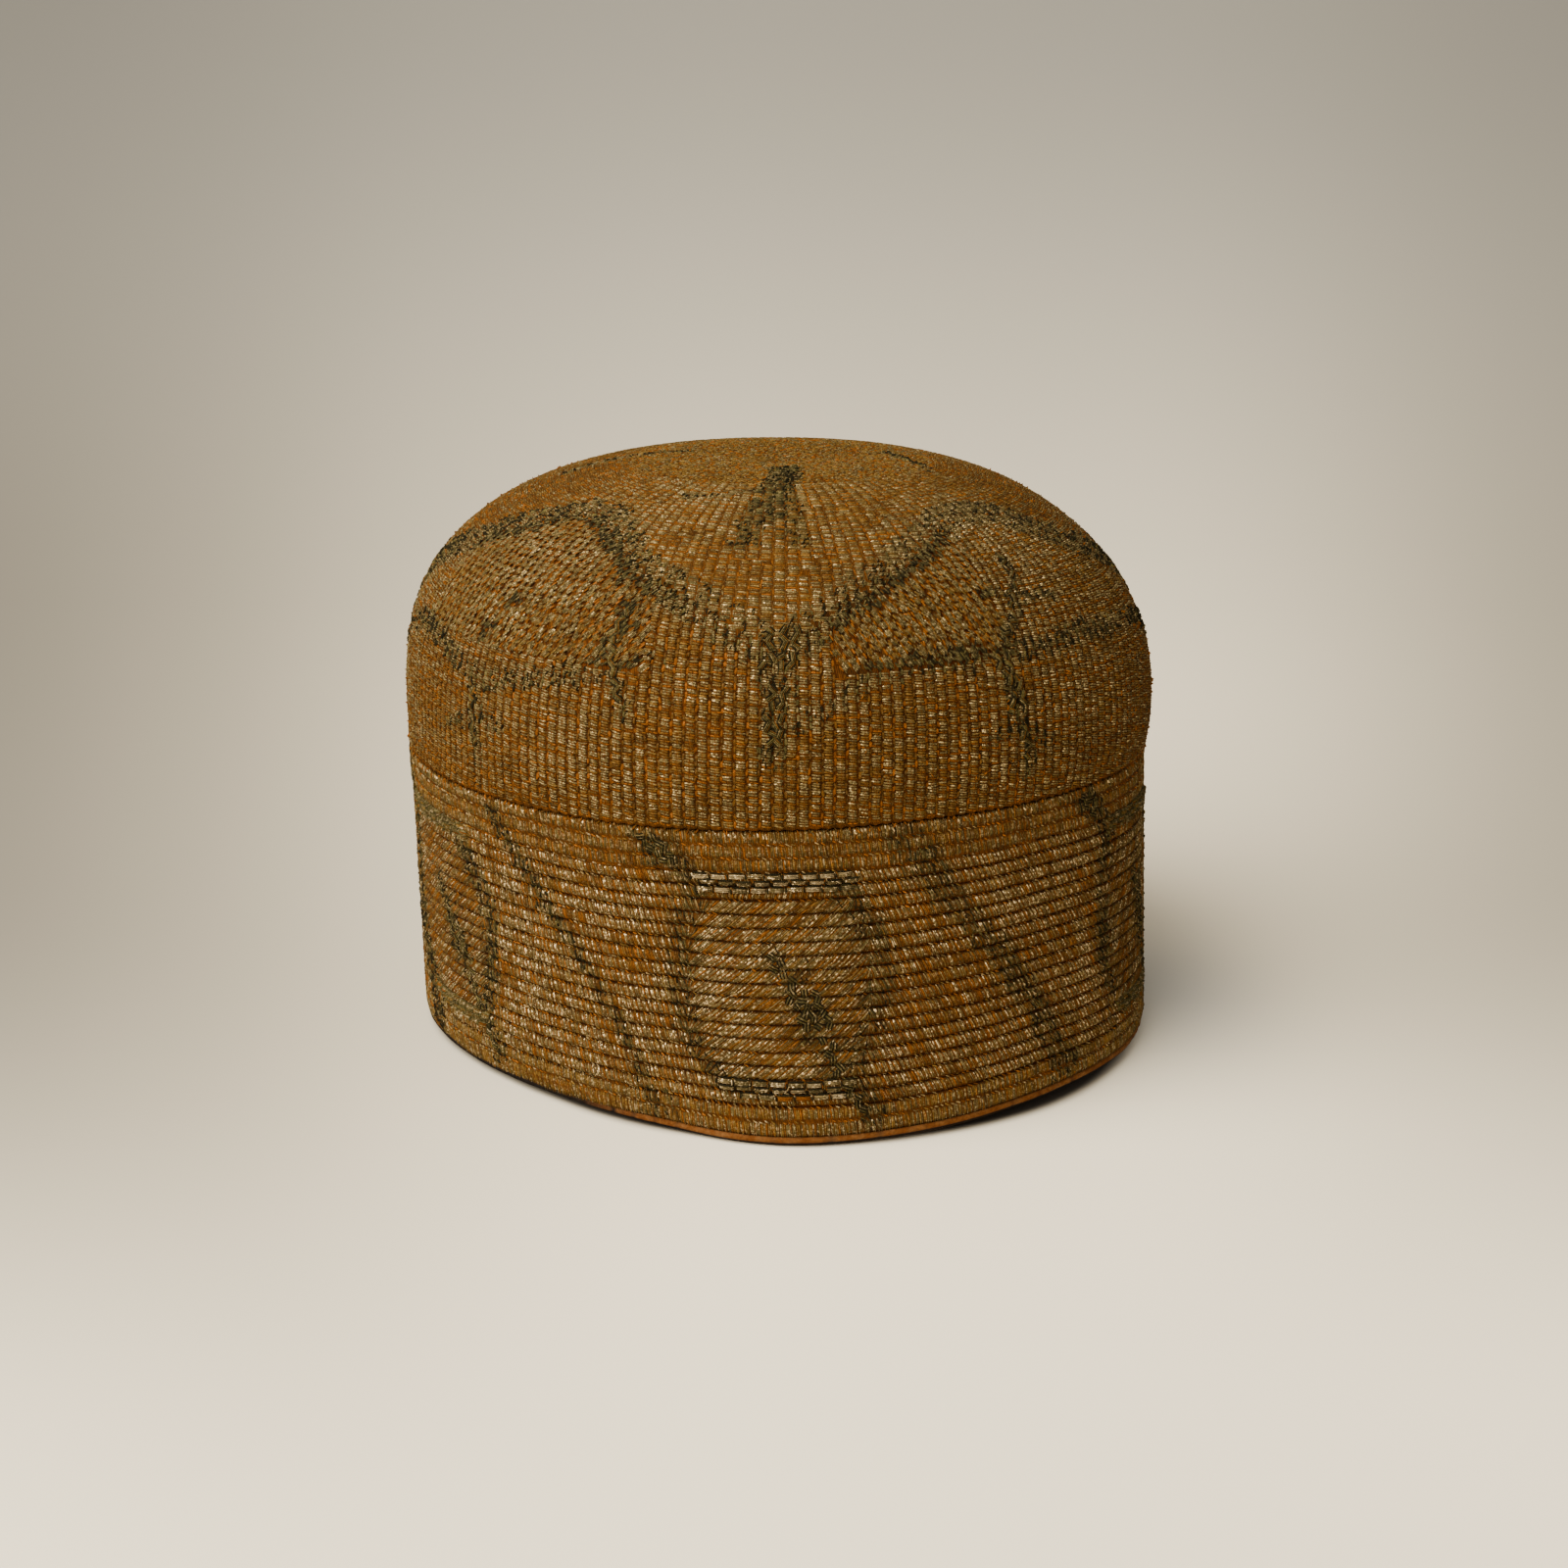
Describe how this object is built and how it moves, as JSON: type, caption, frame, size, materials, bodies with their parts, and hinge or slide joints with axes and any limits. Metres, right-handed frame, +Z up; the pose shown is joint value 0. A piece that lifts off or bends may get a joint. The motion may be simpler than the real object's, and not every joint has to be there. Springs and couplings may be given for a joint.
{
  "type": "kolla hat",
  "caption": "Round brimless cap with a tall corded side wall, a domed quilted crown and a cloth binding on its lower edge, resting on its rim.",
  "frame": {"origin": "middle of the hat's footprint, on the surface that it stands on", "axes": "+Z up through the crown, -Y towards the front of the hat, +X to the right as seen from the front"},
  "size_m": [0.1826, 0.1846, 0.1411],
  "materials": {
    "band_cloth": "corded rows wrapped in brown-orange silk and tarnished silver-gilt thread",
    "crown_cloth": "quilted brown-orange silk crossed by tarnished silver-gilt thread",
    "binding_cloth": "plain red-brown cotton, worn"
  },
  "bodies": {
    "root": {"band": "band_cloth", "crown": "crown_cloth", "rim_binding": "binding_cloth"}
  },
  "joints": []
}
